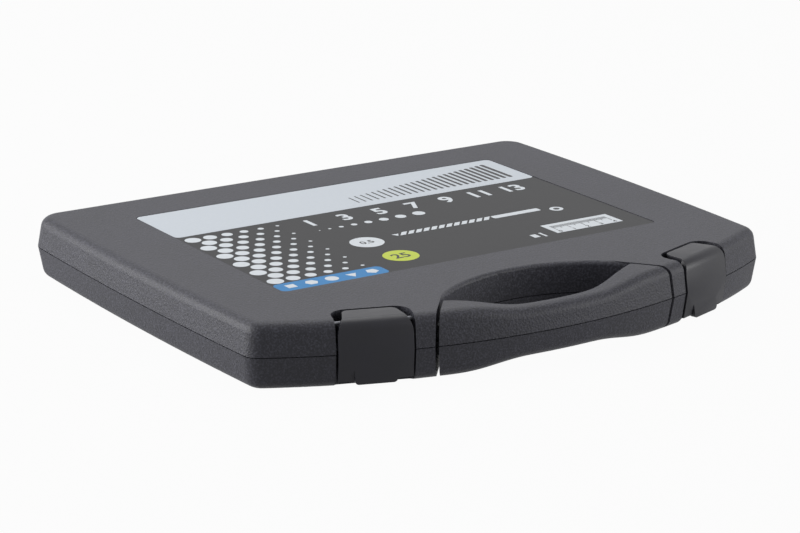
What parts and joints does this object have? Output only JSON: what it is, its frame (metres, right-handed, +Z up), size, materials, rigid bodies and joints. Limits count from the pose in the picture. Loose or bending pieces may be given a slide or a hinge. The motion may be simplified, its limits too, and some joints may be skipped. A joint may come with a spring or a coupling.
{
  "type": "bit case",
  "caption": "Flat moulded carrying case for drill bits, with a hinged lid, snap latches, a carrying handle in the front edge and graded racks inside.",
  "frame": {"origin": "middle of the bottom of the bounding box, case lying closed on its base", "axes": "+X to the right seen from the handle side, handle at -Y, hinges at +Y, +Z up"},
  "size_m": [0.36, 0.3147, 0.0375],
  "materials": {
    "case_plastic": "fine spark-eroded texture",
    "latch_plastic": "smooth, semi-gloss",
    "pin_steel": "drawn wire",
    "label_film": "printed satin film",
    "rack_plastic": "moulded, satin",
    "size_film": "printed satin film",
    "foam": "open-cell foam",
    "screw_steel": "zinc plated"
  },
  "bodies": {
    "base": {"base_shell": "case_plastic", "lower_handle": "case_plastic", "left_hinge_pin": "pin_steel", "right_hinge_pin": "pin_steel", "shank_rack": "rack_plastic", "waist_rack": "rack_plastic", "middle_rack": "rack_plastic", "front_rack": "rack_plastic", "size_strip": "size_film", "rack_screws": "screw_steel", "lower_handle_screws": "screw_steel"},
    "lid": {"lid_shell": "case_plastic", "upper_handle": "case_plastic", "left_latch_pin": "pin_steel", "right_latch_pin": "pin_steel", "label_panel": "label_film", "lid_foam": "foam", "upper_handle_screws": "screw_steel"},
    "left_latch": {"left_latch": "latch_plastic"},
    "right_latch": {"right_latch": "latch_plastic"}
  },
  "joints": [
    {"name": "lid_hinge", "type": "hinge", "parent": "base", "child": "lid", "pos_m": [0, 0.15355, 0.01925], "axis": [-1, 0, 0], "range_deg": [0, 105]},
    {"name": "left_latch_pivot", "type": "hinge", "parent": "lid", "child": "left_latch", "pos_m": [-0.10896, -0.12836, 0.0335], "axis": [-0.9469, 0.3214, 0], "range_deg": [0, 95]},
    {"name": "right_latch_pivot", "type": "hinge", "parent": "lid", "child": "right_latch", "pos_m": [0.10896, -0.12836, 0.0335], "axis": [-0.9469, -0.3214, 0], "range_deg": [0, 95]}
  ]
}
